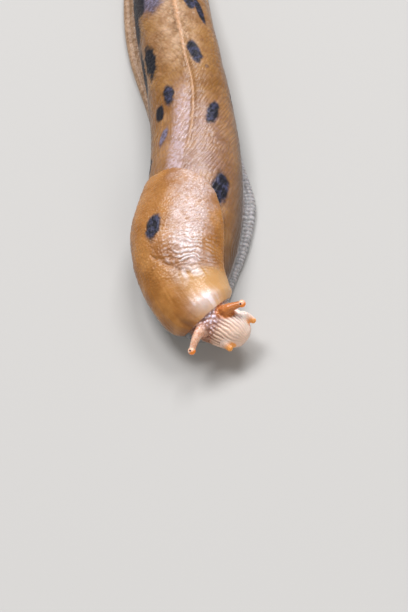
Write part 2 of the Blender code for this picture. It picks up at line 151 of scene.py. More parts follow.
# The dark blotches: distance and angle round the body of the middle, in mm and degrees, half length and
# half width in mm, how far the front end points to the slug's left in degrees, and strength.
BLOTCHES = [
    (120.2, 43, 5.4, 2.7, 4, 1), (71, 146, 7, 2.5, 5, 1), (87.3, 117, 4.2, 1.9, 2, 1),
    (91.8, 135, 3.2, 1.8, 0, 1), (74.3, 72, 4.6, 2, 12, 1), (96.6, 57, 4.4, 1.9, -16, 1),
    (54, 64, 3.6, 1.8, 8, 1), (57, 49, 6.4, 1.1, 8, 1), (50, 176, 12, 2.9, 0, 1),
    (47.5, 152, 6, 3, 0, 0.95), (72, 174, 9, 1.7, 0, 1), (80, 56, 0.8, 0.7, 0, 0.4),
    (37, 60, 3.2, 1.8, -6, 1), (31, 118, 3.8, 2, 8, 1), (24, 152, 3, 1.3, 0, 0.9),
    (20, 58, 2.6, 1.4, 4, 0.9), (13, 116, 2.2, 1, 0, 0.8), (64, 4, 3.6, 1.5, 5, 0.9),
    (88, 2, 3.2, 1.4, -6, 0.9), (33, 10, 3, 1.3, 0, 0.9), (108, 160, 3.6, 1.7, 6, 0.9),
]
# Blotches drawn bluish grey: dark skin with a painted reflection of the sky over it, given as above.
SHEENED_BLOTCHES = [(101.2, 127, 3.6, 1.4, -18, 0.85), (48, 122, 7.5, 6, 0, 0.85)]
MANTLE_BLOTCHES = [(135.2, 111.5, 4, 1.8, -6, 1), (131, 171, 3, 1.7, 10, 0.9)]


def ramp(value, start=0, length=1):
    """0 up to start, 1 from start + length on, and smooth between them."""
    t = np.clip((value - start) / length, 0, 1)
    return t * t * (3 - 2 * t)


def fall(value, start=0, length=1):
    """1 up to start, 0 from start + length on, and smooth between them."""
    return 1 - ramp(value, start, length)


def bell(value, middle=0, width=1):
    """1 at middle, fading to both sides of it."""
    return np.exp(-np.square((value - middle) / width))


def unit(vectors):
    """A vector, or each row of an array, at length one."""
    return vectors / np.maximum(np.linalg.norm(vectors, axis=-1, keepdims=True), 1e-12)


def dots(one, two):
    return np.einsum("ij,ij->i", one, two)


def columns(*parts):
    return np.column_stack(parts)


def spline(knots, values):
    """The natural cubic curve through values at knots, as a function of an array."""
    x = np.asarray(knots, float)
    y = np.asarray(values, float).reshape(len(x), -1)
    step = np.diff(x)
    slope = np.diff(y, axis=0) / step[:, None]
    matrix = np.eye(len(x))
    right = np.zeros_like(y)
    for i in range(1, len(x) - 1):
        matrix[i, i - 1 : i + 2] = step[i - 1], 2 * (step[i - 1] + step[i]), step[i]
        right[i] = 6 * (slope[i] - slope[i - 1])
    bend = np.linalg.solve(matrix, right)

    def at(where):
        w = np.clip(np.atleast_1d(np.asarray(where, float)), x[0], x[-1])
        i = np.clip(np.searchsorted(x, w) - 1, 0, len(x) - 2)
        h = step[i][:, None]
        after = (w - x[i])[:, None]
        before = h - after
        return (
            (bend[i] * before**3 + bend[i + 1] * after**3) / (6 * h)
            + (y[i] / h - bend[i] * h / 6) * before
            + (y[i + 1] / h - bend[i + 1] * h / 6) * after
        )

    return at


def run_along(points):
    """The distance along a line of points, at each of them."""
    steps = np.linalg.norm(np.diff(np.asarray(points, float), axis=0), axis=1)
    return np.concatenate([[0], np.cumsum(steps)])


def by_length(points):
    """A smooth curve through points, as a function of the distance along it, and its length."""
    chord = run_along(points)
    curve = spline(chord, points)
    fine = np.linspace(0, chord[-1], 2000)
    length = run_along(curve(fine))
    return (lambda distance: curve(np.interp(distance, length, fine))), length[-1]


SPINE, _ = by_length(SPINE_POINTS)
BODY = spline([row[0] for row in BODY_STATIONS], [row[1:] for row in BODY_STATIONS])
FOOT = spline(*zip(*FOOT_STATIONS))


def ground_frames(distance):
    """The spine's points, the directions ahead and the directions to the slug's left, on the ground."""
    ahead = unit(SPINE(distance + 0.05) - SPINE(distance - 0.05))
    return SPINE(distance), ahead, columns(-ahead[:, 1], ahead[:, 0])


def foot_width(distance):
    return FOOT(distance)[:, 0]


def undercut(distance):
    seat = foot_width(distance) - 0.6 * FRINGE_WIDTH
    return np.maximum(UNDERCUT, np.arccos(np.clip(seat / BODY(distance)[:, 0], 0.2, 1)))


def midline(distance):
    return np.radians(90 - BODY(distance)[:, 4])


def flat_arrays(*values):
    return [np.ravel(value).astype(float) for value in np.broadcast_arrays(*values)]


def section(distance):
    """Half width, height of the widest line, reach above it and below it, height, and lean."""
    width, height, middle, lean, _ = BODY(distance).T
    base = FOOT_HEIGHT + GAP
    return width, middle, height - middle, (middle - base) / np.sin(undercut(distance)), height, lean


def leaning(up, height, lean):
    base = FOOT_HEIGHT + GAP
    share = np.clip((up - base) / (height - base), 0, 1)
    return lean * (1 - (1 - share) ** 2)


def back_points(distance, angle, offset=0):
    """Points of the solids' back, moved out by offset."""
    distance, angle, offset = flat_arrays(distance, angle, offset)
    here, _, left = ground_frames(distance)
    width, middle, rise, drop, height, lean = section(distance)
    reach = np.where(np.sin(angle) >= 0, rise, drop)
    normal = unit(columns(np.cos(angle) / width, np.sin(angle) / reach))
    across = width * np.cos(angle) + offset * normal[:, 0]
    up = middle + reach * np.sin(angle) + offset * normal[:, 1]
    fade = fall(distance, KEEL_FADE, KEEL_FADE_LENGTH)
    keel = KEEL_HEIGHT * fade * np.minimum(1, height / 12)
    up += keel * bell(angle, midline(distance), KEEL_SPREAD)
    across += leaning(up, height, lean)
    return columns(here + across[:, None] * left, up)


def shell(rings):
    """A closed shell through rings of equally many points, with a fan over each end."""
    rings = np.asarray(rings, float)
    count, sides = rings.shape[:2]
    points = np.concatenate([rings.reshape(-1, 3), rings[:1].mean(axis=1), rings[-1:].mean(axis=1)])
    index = np.arange(count * sides).reshape(count, sides)
    after = np.roll(index, -1, axis=1)
    faces = np.stack([index[:-1], after[:-1], after[1:], index[1:]], axis=2).reshape(-1, 4).tolist()
    end = np.full(sides, count * sides)
    faces += columns(end, after[0], index[0]).tolist()
    faces += columns(end + 1, index[-1], after[-1]).tolist()
    return points, faces


BACK_FRONT = 155  # the back's shell ends inside the neck
BACK_ANGLES = 120


def back_shell():
    """The back, reaching down into the foot."""
    rings = []
    for s in np.linspace(0.3, BACK_FRONT, 260):
        under = undercut([s])[0]
        ring = back_points(s, np.linspace(-under, math.pi + under, BACK_ANGLES), -INSET)
        here, _, left = (row[0] for row in ground_frames(np.array([s])))
        root = max(0.3, foot_width([s])[0] - 1.6 * FRINGE_WIDTH)
        low = [[*(here + side * root * left), 1.4] for side in (-1, 1)]
        rings.append(np.concatenate([ring, low]))
    return shell(rings)


# The foot's edge: inward in widths of its border, and up.
FOOT_EDGE = [
    (0.62, 0), (0.3, 0.15), (0.06, 0.7), (0, 1.35), (0.12, 1.95), (0.4, 2.38), (0.75, 2.55),
    (1.1, 2.45),
]


def foot_outline(edge):
    """Half of a section of the foot: across and up, from the sole to the groove under the back."""
    border = min(FRINGE_WIDTH, 0.5 * edge)
    curve, length = by_length([(edge - inward * border, up) for inward, up in FOOT_EDGE])
    inner = [(max(0.1, edge - 1.7 * border), 2.9)]
    return np.concatenate([curve(np.linspace(0, length, 16)), inner])


def foot_shell():
    rings = []
    for s in np.linspace(0.05, FOOT_LENGTH - 0.1, 300):
        here, _, left = (row[0] for row in ground_frames(np.array([s])))
        half = foot_outline(foot_width([s])[0] - INSET)
        outline = np.concatenate([half, half[::-1] * (-1, 1)])
        rings.append(columns(here + outline[:, :1] * left, outline[:, 1]))
    return shell(rings)


def hood_share(distance):
    return ramp(distance, MANTLE_FRONT - MANTLE_HOOD, MANTLE_HOOD)


def mantle_angles(distance):
    """The angles of the mantle's left and right edges."""
    behind = (distance - MANTLE_REAR) / MANTLE_TAPER
    swell = np.sqrt(np.clip(1 - np.maximum(0, 1 - behind) ** 2, 0, 1))
    hood = hood_share(distance)
    past = np.clip((distance - MANTLE_FRONT) / MANTLE_CORNER + 1, 0, 1)
    corner = MANTLE_CORNER_TURN * (1 - np.sqrt(1 - past**2))
    spread = np.array([[MANTLE_LEFT_SPREAD], [MANTLE_RIGHT_SPREAD]])
    half = MANTLE_TIP_SPREAD + (spread - MANTLE_TIP_SPREAD) * swell
    left, right = half + (MANTLE_HOOD_SPREAD - spread) * hood - corner
    top = midline(distance)
    return top - left, top + right


EDGE_ROUND = 1  # radius of the mantle's edge
LIP_ROUND = 3  # radius of the hood's lip
LIP_DROP = 0.75  # share of the gap under the hood that its lip closes
MANTLE_SINK = 0.9  # depth of the inner face in the back
MANTLE_RADIUS = 10.5  # the mantle's, about, round the middle of the body


def mantle_points(share, across, outer):
    """Points of the mantle's faces. The inner face is sunk into the back except under the hood."""
    share, across = flat_arrays(share, across)
    distance = MANTLE_REAR + (MANTLE_FRONT - MANTLE_REAR) * share
    first, last = mantle_angles(distance)
    angle = first + (last - first) * (across + 1) / 2
    ends = np.minimum(distance - MANTLE_REAR, MANTLE_FRONT - distance)
    body = (1 - across**4) * np.sqrt(np.clip(ends / MANTLE_SWELL, 0, 1))
    thick = MANTLE_EDGE + (MANTLE_THICK - MANTLE_EDGE) * body
    reach = MANTLE_PEAK * (1 - across**2) * share**2
    opened = ramp(distance, MANTLE_FRONT - 10, 4)
    under = GAP + MANTLE_LIFT * hood_share(distance)
    lip = np.clip((MANTLE_FRONT - distance) / LIP_ROUND, 0, 1)
    under = under * (1 - LIP_DROP * fall(lip))
    if outer:
        aside = (1 - np.abs(across)) * 0.5 * (last - first) * MANTLE_RADIUS
        rim = np.clip(np.minimum(aside, distance - MANTLE_REAR) / EDGE_ROUND, 0, 1)
        rim = np.minimum(rim, lip)
        offset = under + thick * np.sqrt(1 - 0.8 * (1 - rim) ** 2) - INSET
    else:
        offset = under * opened - MANTLE_SINK * (1 - opened)
    return back_points(distance + reach, angle, offset)


def mantle_shell():
    """The mantle as one closed shell: across its outer face and back across its inner one."""
    even = np.linspace(0, 1, 130)
    shares = 0.6 * (0.5 - 0.5 * np.cos(math.pi * even)) + 0.4 * even
    places = np.linspace(-1, 1, 150)
    sides = (places, True), (places[::-1], False)
    return shell([np.concatenate([mantle_points(share, *side) for side in sides]) for share in shares])


def tube(route, sizes):
    """A smooth route and its length. The route is a function of shares of that length, and gives the
    points, the directions ahead, sideways and up, and the sizes there."""
    curve, length = by_length(route)
    chord = run_along(route)
    size = spline(chord / chord[-1], sizes)

    def at(share):
        share = np.atleast_1d(np.asarray(share, float))
        ahead = unit(curve((share + 0.01) * length) - curve((share - 0.01) * length))
        side = unit(np.cross(ahead, (0, 0, 1)))
        return curve(share * length), ahead, side, np.cross(side, ahead), size(share)

    return at, length


HEAD, HEAD_LENGTH = tube([row[:3] for row in HEAD_STATIONS], [row[3:] for row in HEAD_STATIONS])


def rounded(share, start):
    """How much of its width a tube keeps where it rounds off from start to its end."""
    over = np.maximum(0, share - start) / (1 - start)
    return np.sqrt(np.maximum(0, 1 - over**2))


def tube_rings(at, shares, sides, start):
    """Rings round a tube that is rounded off from start, or cut off square where start is None."""
    turns = np.linspace(0, 2 * math.pi, sides, endpoint=False)
    rings = []
    for share in shares:
        here, _, side, above, size = (row[0] for row in at(share))
        keep = 1 if start is None else rounded(share, start)
        if start == HEAD_ROUND_FROM:
            over = max(0, share - start) / (1 - start)
            keep += LIP_HEIGHT * bell(over, LIP_PLACE, LIP_SPREAD)
        across = (size[0] - INSET) * keep * np.cos(turns)
        up = (size[-1] - INSET) * keep * np.sin(turns)
        rings.append(here + across[:, None] * side + up[:, None] * above)
    return rings


def rounding_shares(start, body, cap):
    turns = np.linspace(0, math.pi / 2, cap + 1)[1:-1]
    return [*np.linspace(0, start, body), *(start + (1 - start) * np.sin(turns)), 0.9995]


def head_shell():
    return shell(tube_rings(HEAD, rounding_shares(HEAD_ROUND_FROM, 60, 24), 96, HEAD_ROUND_FROM))


def tentacle_shells():
    upper = np.linspace(0, 0.97, 30), None
    lower = rounding_shares(LOWER_ROUND_FROM, 24, 8), LOWER_ROUND_FROM
    made = []
    for (route, radii, *_), (shares, start) in zip(TENTACLES, (upper, upper, lower, lower)):
        at, _ = tube(route, [[radius] for radius in radii])
        made.append(shell(tube_rings(at, shares, 32, start)))
    return made


def mesh_of(name, points, faces):
    data = bpy.data.meshes.new(name)
    data.from_pydata(points.tolist(), [], faces)
    return data


def placed(name, data):
    made = bpy.data.objects.new(name, data)
    bpy.context.scene.collection.objects.link(made)
    return made


def fused(shells):
    """All the shells as one closed skin of even quads."""
    faces = []
    count = 0
    for points, those in shells:
        faces += [[corner + count for corner in face] for face in those]
        count += len(points)
    data = mesh_of("shells", np.concatenate([points for points, _ in shells]), faces)
    made = placed("shells", data)
    step = made.modifiers.new("fuse", "REMESH")
    step.mode = "VOXEL"
    step.voxel_size = VOXEL
    result = made.evaluated_get(bpy.context.evaluated_depsgraph_get()).to_mesh()
    places = np.empty(len(result.vertices) * 3)
    result.vertices.foreach_get("co", places)
    corners = np.empty(len(result.loops), np.int32)
    result.loops.foreach_get("vertex_index", corners)
    if len(result.polygons) * 4 != len(corners):
        raise ValueError("the fused skin isn't all quads")
    bpy.data.objects.remove(made)
    bpy.data.meshes.remove(data)
    return places.reshape(-1, 3), corners.reshape(-1, 4)


def edges_of(faces):
    """The ends of each edge, in both directions."""
    ends = np.concatenate([faces[:, [k, (k + 1) % 4]] for k in range(4)])
    ends = np.unique(np.sort(ends, axis=1), axis=0)
    return np.concatenate([ends, ends[:, ::-1]])


def smoothed(points, edges, rounds, weight):
    """Moves each point towards the mean of its neighbours by weight, a number or one for each point."""
    weight = np.broadcast_to(weight, len(points))[:, None]
    here, there = edges.T
    degree = np.bincount(here)[:, None]
    for _ in range(rounds):
        total = columns(*(np.bincount(here, points[there, k]) for k in range(3)))
        points = points + weight * (total / degree - points)
    return points


def normals_of(points, faces):
    a, b, c, d = (points[faces[:, k]] for k in range(4))
    face = np.repeat(np.cross(c - a, d - b), 4, axis=0)
    return unit(columns(*(np.bincount(faces.ravel(), face[:, k]) for k in range(3))))


def hashed(cells, seed):
    """A number from 0 to 1 for each row of whole numbers."""
    mixed = np.full(len(cells), seed * 2654435761 % 2**32, np.uint32)
    for k, prime in zip(range(cells.shape[1]), (73856093, 19349663, 83492791)):
        mixed ^= cells[:, k].astype(np.uint32) * np.uint32(prime)
        for shift, factor in ((15, 2246822519), (13, 3266489917), (16, 1)):
            mixed ^= mixed >> np.uint32(shift)
            mixed *= np.uint32(factor)
    return mixed / 2.0**32


def noise(points, seed):
    """Smooth noise from -1 to 1, with features one unit long."""
    low = np.floor(points)
    part = points - low
    part = part**3 * (part * (part * 6 - 15) + 10)
    low = low.astype(np.int64)
    total = np.zeros(len(points))
    for corner in itertools.product((0, 1), repeat=points.shape[1]):
        weight = np.where(np.array(corner) == 1, part, 1 - part).prod(axis=1)
        total += weight * hashed(low + np.array(corner), seed)
    return 2 * total - 1


def fractal(points, seed, octaves=3):
    total = np.zeros(len(points))
    for k in range(octaves):
        total += noise(points * 2**k, seed + k) / 2**k
    return total


def scattered(points, seed, jitter=0.85):
    """Distances to the nearest and next spot, of one in each unit cell, and the nearest's number."""
    home = np.floor(points).astype(np.int64)
    first = np.full(len(points), 9.0)
    second = first.copy()
    number = np.zeros(len(points))
    dims = points.shape[1]
    for step in itertools.product((-1, 0, 1), repeat=dims):
        cell = home + np.array(step)
        shift = columns(*(hashed(cell, seed + k) for k in range(dims))) - 0.5
        far = np.linalg.norm(points - (cell + 0.5 + jitter * shift), axis=1)
        nearer = far < first
        second = np.where(nearer, first, np.minimum(second, far))
        number = np.where(nearer, hashed(cell, seed + dims), number)
        first = np.where(nearer, far, first)
    return first, second, number


def nearest(points, spots, marks):
    """For each point the mark of the nearest spot."""
    found = []
    for start in range(0, len(points), BATCH):
        aside = points[start : start + BATCH, None] - spots
        found.append(marks[(aside**2).sum(axis=2).argmin(axis=1)])
    return np.concatenate(found)


def on_spine(points):
    """For each point the distance along the spine and how far it lies to the slug's left of it."""
    points = points[:, :2]
    marks = np.linspace(0, FOOT_LENGTH, 318)
    distance = nearest(points, SPINE(marks), marks)
    for _ in range(3):
        here, ahead, left = ground_frames(distance)
        distance = np.clip(distance + dots(points - here, ahead), 0, FOOT_LENGTH)
    here, ahead, left = ground_frames(distance)
    return distance, dots(points - here, left)


class Table:
    """Arc lengths round the back from its midline, for distances along it and angles."""

    def __init__(self):
        self.distances = np.linspace(0, FOOT_LENGTH, 200)
        self.angles = np.radians(np.linspace(-110, 290, 201))
        grid = np.meshgrid(self.distances, self.angles, indexing="ij")
        points = back_points(*grid).reshape(len(self.distances), len(self.angles), 3)
        run = np.linalg.norm(np.diff(points, axis=1), axis=2).cumsum(axis=1)
        run = np.concatenate([np.zeros((len(run), 1)), run], axis=1)
        middle = midline(self.distances)
        self.arcs = run - np.array([[np.interp(m, self.angles, r)] for m, r in zip(middle, run)])

    def at(self, distance, angle):
        distance, angle = flat_arrays(distance, angle)
        row = np.clip(distance / self.distances[1], 0, len(self.distances) - 1.001)
        step = self.angles[1] - self.angles[0]
        column = np.clip((angle - self.angles[0]) / step, 0, len(self.angles) - 1.001)
        i, k = row.astype(int), column.astype(int)
        a, b = row - i, column - k
        near, far = (self.arcs[r, k] * (1 - b) + self.arcs[r, k + 1] * b for r in (i, i + 1))
        return near * (1 - a) + far * a

    def top(self, distance):
        return self.at(distance, 0.5 * math.pi)


def on_head(points):
    """For each point the share along the head's axis, the angle round it and the distance from it."""
    marks = np.linspace(0, 1, 201)
    share = nearest(points, HEAD(marks)[0], marks)
    for _ in range(2):
        here, ahead, *_ = HEAD(share)
        share = np.clip(share + dots(points - here, ahead) / HEAD_LENGTH, 0, 1)
    here, ahead, side, above, size = HEAD(share)
    across, up = dots(points - here, side), dots(points - here, above)
    return share, np.arctan2(up / size[:, 1], across / size[:, 0]), np.hypot(across, up)


def along_route(points, route):
    """For each point the share along a tentacle's route and the distance from it."""
    curve, length = by_length(route)
    marks = np.linspace(0, 1, 60)
    far = np.linalg.norm(points[:, None] - curve(marks * length)[None], axis=2)
    return marks[far.argmin(axis=1)], far.min(axis=1)


HEAD_REAR = 140  # no part of the head is nearer the tail's tip than this


class Places:
    """Where each point of the skin lies on the animal, and masks of its regions from 0 to 1."""

    def __init__(self, points):
        self.points = points
        self.distance, across = on_spine(points)
        up = points[:, 2]
        width, middle, rise, drop, height, lean = section(self.distance)
        across = across - leaning(up, height, lean)
        reach = np.where(up >= middle, rise, drop)
        wide, high = across / width, (up - middle) / reach
        self.angle = np.arctan2(high, wide)
        self.angle += 2 * math.pi * (self.angle < -0.5 * math.pi)
        self.offset = (np.hypot(wide, high) - 1) * np.hypot(
            width * np.cos(self.angle), reach * np.sin(self.angle)
        )
        self.table = Table()
        self.arc = self.table.at(self.distance, self.angle)
        self.top_arc = self.arc - self.table.top(self.distance)
        self.set_head()
        self.set_mantle()
        self.foot = fall(up, FOOT_HEIGHT + 0.05, 0.3) * (1 - self.muzzle)
        self.bare = (1 - self.mantle) * (1 - self.head)
        self.body = self.bare * (1 - self.foot)

    def set_head(self):
        near = self.distance > HEAD_REAR
        points = self.points[near]
        self.share, self.turn, self.from_axis = (self.spread(near, found) for found in on_head(points))
        self.head = ramp(self.share, 0.36, 0.1) * (self.points[:, 2] > FOOT_HEIGHT)
        self.muzzle = ramp(self.share, 0.66, 0.09) * self.head
        names = "tentacle", "stalk", "left_upper", "tip", "lower"
        masks = {name: np.zeros(len(points)) for name in names}
        for route, _, reach, root, *_ in TENTACLES:
            share, far = along_route(points, route)
            mask = ramp(share, root, 0.25) * (far < reach)
            found = {"tentacle": mask, "stalk": fall(far, reach - 0.3, 0.3)}
            if route is UPPER_LEFT:
                found["left_upper"] = ramp(share, -0.1, 0.3) * fall(far, reach - 0.2, 0.9)
            if route in (LOWER_LEFT, LOWER_RIGHT):
                found.update(tip=mask * ramp(share, 0.45, 0.4), lower=mask)
            for name, values in found.items():
                masks[name] = np.maximum(masks[name], values)
        for name, values in masks.items():
            setattr(self, name, self.spread(near, values))

    def spread(self, near, values):
        """Values for all the points, from those of the near ones."""
        whole = np.zeros(len(self.points))
        whole[near] = values
        return whole

    def set_mantle(self):
        back = self.distance.copy()
        for _ in range(4):
            first, last = mantle_angles(back)
            across = np.clip(2 * (self.angle - first) / (last - first) - 1, -1, 1)
            share = np.clip((back - MANTLE_REAR) / (MANTLE_FRONT - MANTLE_REAR), 0, 1)
            back = self.distance - MANTLE_PEAK * (1 - across**2) * share**2
        first, last = mantle_angles(back)
        left, arc, right = (self.table.at(back, angle) for angle in (first, self.angle, last))
        sides = np.minimum(arc - left, right - arc)
        self.mantle_distance = back
        self.mantle_inside = np.minimum(sides, np.minimum(back - MANTLE_REAR, MANTLE_FRONT - back))
        raised = ramp(self.offset, 0.35, 0.4)
        self.mantle = raised * ramp(self.mantle_inside, -0.9, 0.6) * (1 - self.stalk)
        self.mantle *= self.distance > MANTLE_REAR - 2


GLINT_SIDE = np.array([-0.5, 0.25, 0.83])  # the side of the tentacles that gets painted glints
ORANGE_SIDE = np.array([0.2, -0.8, -0.56])  # the tips of the tentacles are orange in front and below
# The pale line along the back: distance from the tail's tip and arc from the keel's top.
KEEL_LINE = [
    (0, 0), (54, 0.6), (62, 0.8), (70, 0.5), (76, 0), (83, -1.4), (92, -2.9), (101, -4.9), (114, -7),
]


def keel_line(distance):
    return np.interp(distance, *zip(*KEEL_LINE))


def rugae(where):
    """The oblique ridges of the back: their height, how deep in a groove a point is, and their crests'
    painted sheen.
    """
    marks = np.linspace(0, FOOT_LENGTH, 400)
    sweep = RUGA_SWEEP + (RUGA_FRONT_SWEEP - RUGA_SWEEP) * ramp(marks, 60, 42)
    runs = np.cumsum(np.cos(sweep)) * marks[1], np.cumsum(np.sin(sweep)) * marks[1], sweep
    ahead, aside, turned = (np.interp(where.distance, marks, run) for run in runs)
    swept = np.abs(where.arc)
    along = ahead - swept * np.sin(turned)
    over = aside + swept * np.cos(turned)
    flat = columns(along, over) / 5
    warp = columns(noise(flat, 3), noise(flat, 4))
    past = np.maximum(0, along - RUGA_GROWTH)
    cells = (along - past) / RUGA_LENGTH + past / RUGA_FRONT_LENGTH
    places = columns(cells, over / RUGA_WIDTH + 50 * (where.arc > 0))
    first, second, number = scattered(places + 0.45 * warp, 11)
    strong = 0.45 + 0.55 * ramp(0.5 + 0.8 * fractal(where.points / 4.5, 14))
    groove = fall(second - first, 0, 0.5) * strong
    height = 0.3 * (0.5 - first) + 0.35 * (number - 0.5) - groove
    return height, groove, ramp(number, 0.45, 0.5) * (1 - groove)


def blotches(where, places, edge=0.46):
    """How dark each point is inside a blotch, with soft uneven edges."""
    total = np.zeros(len(where.points))
    ragged = 0.15 * fractal(where.points / 1.5, 40, 2)
    for distance, angle, length, width, lean, strength in places:
        middle = (where.table.at(distance, math.radians(angle)) - where.table.top(distance))[0]
        ahead = where.distance - distance
        aside = middle - where.top_arc
        lean = math.radians(lean)
        along = ahead * math.cos(lean) + aside * math.sin(lean)
        over = aside * math.cos(lean) - ahead * math.sin(lean)
        far = np.hypot(along / length, over / width) + ragged
        total = np.maximum(total, strength * fall(far, 1.15 - edge, edge))
    return total


def rearward(distance):
    """How far each point is towards the tail, where the foot is tan and not grey, from 0 to 1."""
    return fall(distance, 73, 25)


class Relief:
    """The fine shape of the skin: a height for each point, and masks that its colours use."""

    def __init__(self, where):
        self.height = np.zeros(len(where.points))
        self.groove = np.zeros(len(where.points))
        self.add_back(where)
        self.add_mantle(where)
        self.add_fringe(where)
        self.add_head(where)

    # groove is the painted shade that a point gets at the bottom of the relief's grooves and hollows.
    def put(self, mask, height, groove=0):
        self.height += mask * height
        self.groove = np.maximum(self.groove, mask * groove)

    def add_back(self, where):
        distance, body = where.distance, where.body
        height, groove, self.crest_sheen = rugae(where)
        beside = where.arc - keel_line(distance)
        # Beside the keel line the skin is pale lilac: partly the mucus's own pale film and partly a
        # painted sheen.
        self.film_and_sheen = ramp(beside, 0.3, 0.8) * fall(beside, 3.8, 3) * ramp(distance, 80, 16)
        firm = body * (0.55 + 0.45 * ramp(distance, 12, 40)) * (1 - 0.45 * self.film_and_sheen)
        self.put(firm, RUGA_DEPTH * height, 0.45 * groove)
        fade = ramp(distance / 15) * fall(distance, 104, 6)
        self.put(body * fade, 0.2 * bell(beside / 0.6) - 0.1 * bell(beside, -1.3, 0.6))
        self.put(body, 0.12 * fractal(where.points / 7, 21))
        # a groove round the mantle's edge, with painted shade under the edge
        rim = bell(where.mantle_inside, -0.35, 0.35) * (1 - where.mantle) * body
        self.put(rim, -0.15, 1)

    def add_mantle(self, where):
        points, mantle = where.points, where.mantle
        back, top = where.mantle_distance, where.top_arc
        front = ramp(back, 144.5, 4)
        first, second, number = scattered(points / GRANULE, 61)
        grain = ramp(second - first, 0, 0.5)
        rough = mantle * (1 - 0.9 * front)
        self.put(rough, GRANULE_DEPTH * (grain - 1 + 0.6 * (number - 0.5)), 0.4 * (1 - grain))
        self.put(mantle, 0.15 * fractal(points / 5.5, 71))
        wave = np.sin(2 * math.pi * (back + 0.8 * fractal(points / 2.6, 75)) / WRINKLE_PITCH)
        zone = bell(back, 142.6, 4) * bell(top, -2.6, 4)
        self.put(mantle * zone, WRINKLE_DEPTH * wave, 0.7 * ramp(-wave))
        aside = top - 1.6
        past = back - CREASE_DISTANCE + 0.8 * aside - 0.5 * noise(points / 1.7, 77)
        zone = fall(np.abs(aside), 2.5, 2.5)
        deep = bell(past / 0.6) * zone
        hollow = bell(past, -1.9, 2.2) * zone
        self.put(mantle, -CREASE_DEPTH * deep - 0.2 * hollow, 0.8 * deep)
        # painted shade, brown, in the hollow behind the crease
        self.crease_shade = mantle * np.maximum(hollow, 0.8 * bell(past, -3, 2.6) * zone)
        self.streak = noise(columns(top / 0.45, back / 3), 78)
        self.put(mantle * front, 0.045 * self.streak)
        # The gleam is painted highlight: on the crests of the wrinkles and in one spot further forward.
        crest_sheen = ramp(0.35 + wave) * ramp(back, 132, 5) * bell(top, -3, 4.5)
        crest_sheen *= fall(back, 143, 1.5) * ramp(0.55 + 0.9 * self.streak)
        spot = bell(back, 146.6, 1.6) * bell(top, -2, 2.3) * ramp(0.6 + 0.9 * self.streak)
        self.gleam = mantle * np.maximum(crest_sheen, spot)
        flat = columns(back / 0.55, top / 1.4)
        across = 0.5 + 0.5 * (0.65 * noise(flat, 79) + 0.35 * noise(2.1 * flat, 80))
        spots = 0.5 + 0.33 * fractal(points / 0.6, 83, 2)
        self.fleck = spots + ramp(back, 130, 9) * (across - spots)
        # The fold beside the head: a dent with painted shade along it, and painted shade at the hood's
        # corner.
        shaded_fold = bell(top, 5.3, 0.75) * ramp(back, 151.5, 3.5)
        self.put(mantle, -0.32 * shaded_fold, 0.2 * shaded_fold)
        corner = ramp(back, 154.4, 1.8) * ramp(top, 4.6, 2)
        self.shaded_fold = mantle * np.maximum(0.8 * shaded_fold, corner)
        pore = bell(np.hypot((where.distance - PORE_DISTANCE) / 1.5, (where.angle - PORE_ANGLE) * 9))
        self.put(mantle, -PORE_DEPTH * pore, pore)

    def add_fringe(self, where):
        distance, up = where.distance, where.points[:, 2]
        shift = 0.3 * noise(columns(distance, up) / 3, 81)
        lobe = np.abs(np.sin(math.pi * (distance + shift) / FRINGE_PITCH)) ** 0.6
        calm = 1 - 0.82 * rearward(distance)
        self.put(where.foot * ramp(up / 0.7) * calm, FRINGE_DEPTH * (lobe - 1), 1 - lobe)
        row = where.bare * calm * ramp(up, FOOT_HEIGHT + 0.2, 0.2) * fall(up, FRINGE_ROW, 0.5)
        self.put(row, 0.7 * FRINGE_DEPTH * (lobe - 1), 1 - lobe)
        for level in (FOOT_HEIGHT + 0.25, FRINGE_ROW):
            self.put(bell(up, level, 0.28) * where.bare * calm, -0.13, 0.9)

    def add_head(self, where):
        points, share, turn = where.points, where.share, where.turn
        dome = 1 - np.minimum(1, scattered(points / HEAD_GRAIN, 91)[0] / 0.62) ** 2
        bare = where.head * (1 - where.tentacle) * (1 - where.mantle)
        top = (1 - where.muzzle) * bare
        self.put(top, HEAD_GRAIN_DEPTH * (dome - 0.7), fall(dome, 0, 0.6))
        self.glint = top * ramp(dome, 0.55, 0.3)
        bend = 1.1 * (share - 0.6) + 0.05 * fractal(points / 3, 95)
        wave = np.cos(MUZZLE_RIDGES * (turn + bend))
        wave += 0.65 * noise(columns(turn * 7, share * 9), 96)
        front = ramp(share, 0.60, 0.08) * bare * (1 - 0.8 * ramp(share, 0.71, 0.24))
        self.put(front, 0.5 * MUZZLE_RIDGE_DEPTH * (wave - 1), 1.3 * ramp(0.2 - wave))
        across = where.from_axis * np.cos(turn)
        up = where.from_axis * np.sin(turn) + MOUTH_DROP
        slit = bell((up + 0.12 * across**2) / 0.3) * fall(np.abs(across), MOUTH_WIDTH - 0.7, 0.7)
        cleft = bell(across / 0.25) * bell(up, -0.9, 0.8)
        depth = -MOUTH_DEPTH * slit - 0.25 * cleft
        self.put(ramp(share, 0.97, 0.02) * where.muzzle, depth, np.maximum(slit, 0.7 * cleft))
        first, second, number = scattered(points / 0.5, 97)
        dome = ramp(second - first, 0, 0.5)
        self.put(where.tentacle, 0.08 * (dome - 1), 0.35 * (1 - dome))
        self.wart = where.tentacle * dome * ramp(number, 0.62, 0.2)


FLESH = [
    "tail_tip", "tail", "back", "trunk", "neck", "head", "mantle",
    "foot_tail", "foot_middle", "foot_front",
    "upper_tentacle_left", "upper_tentacle_right", "lower_tentacle_left", "lower_tentacle_right",
]


def linear(red, green, blue):
    """A colour given as it looks on a screen, from 0 to 255, as Blender's own numbers."""
    shares = np.array([red, green, blue]) / 255
    low = shares <= 0.04045
    return (*np.where(low, shares / 12.92, ((shares + 0.055) / 1.055) ** 2.4), 1)


